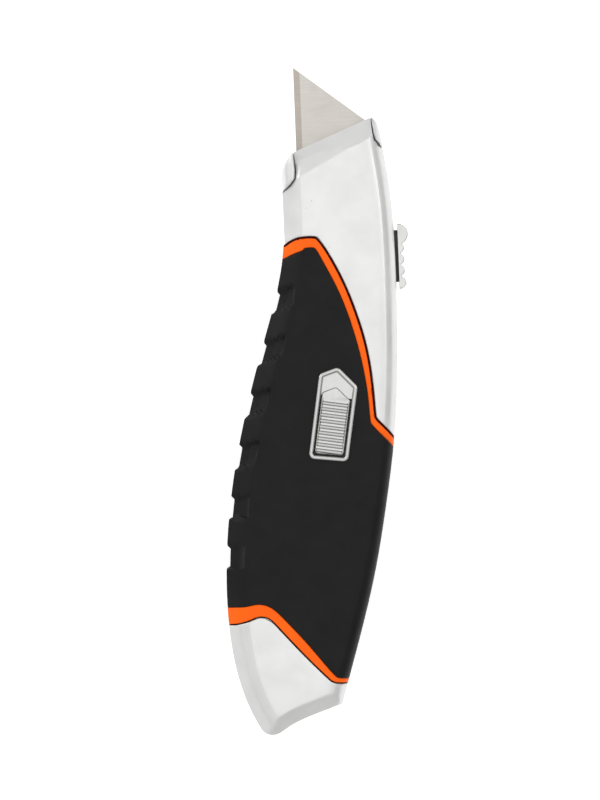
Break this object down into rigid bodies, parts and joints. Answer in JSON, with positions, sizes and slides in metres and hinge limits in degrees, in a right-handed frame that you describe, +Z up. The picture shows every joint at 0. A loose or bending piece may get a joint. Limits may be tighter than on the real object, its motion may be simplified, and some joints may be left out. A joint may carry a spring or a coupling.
{
  "type": "utility knife",
  "caption": "Retractable utility knife with a two-shell metal body, rubber grips, sliding trapezoid blade, latch button and a cover that swings open on a tail hinge.",
  "frame": {"origin": "under the middle of the knife's overall box, on the flat of the right-hand grip that it rests on", "axes": "+Y along the blade towards its tip, +X towards the spine and the thumb button, +Z up, out of the side with the latch button"},
  "size_m": [0.0527, 0.1797, 0.0208],
  "materials": {
    "cast_metal": "satin",
    "grip_rubber": "matte",
    "orange_trim": "satin",
    "bright_plate": "polished",
    "steel_hardware": "satin",
    "blade_steel": "satin",
    "dark_plastic": "matte"
  },
  "bodies": {
    "handle": {"right_shell": "cast_metal", "right_grip": "grip_rubber", "right_front_trim": "orange_trim", "right_rear_trim": "orange_trim", "hinge_pin": "steel_hardware", "latch_catch": "steel_hardware", "catch_screws": "steel_hardware", "blade_magazine": "dark_plastic", "spare_blades": "blade_steel", "magazine_clip": "steel_hardware", "detent_rack": "dark_plastic", "rack_rivets": "steel_hardware"},
    "cover": {"left_shell": "cast_metal", "left_grip": "grip_rubber", "left_front_trim": "orange_trim", "left_rear_trim": "orange_trim", "latch_bezel": "bright_plate", "latch_spring": "steel_hardware"},
    "latch": {"latch_button": "bright_plate", "latch_plate": "steel_hardware", "latch_screw": "steel_hardware"},
    "carrier": {"blade_carrier": "dark_plastic", "blade": "blade_steel", "thumb_spring": "steel_hardware"},
    "thumb": {"thumb_button": "bright_plate", "button_stem": "dark_plastic"}
  },
  "joints": [
    {"name": "cover_swing", "type": "hinge", "parent": "handle", "child": "cover", "pos_m": [-0.0047, -0.08275, 0.01], "axis": [0.936, 0.352, 0], "range_deg": [0, 70]},
    {"name": "latch_slide", "type": "slide", "parent": "cover", "child": "latch", "axis": [0.165, 0.9863, 0], "range_m": [0, 0.0033], "stiffness_N_per_m": 300},
    {"name": "blade_slide", "type": "slide", "parent": "handle", "child": "carrier", "axis": [0, 1, 0], "range_m": [-0.026, 0]},
    {"name": "thumb_press", "type": "slide", "parent": "carrier", "child": "thumb", "axis": [-1, 0, 0], "range_m": [0, 0.0008], "stiffness_N_per_m": 800}
  ]
}
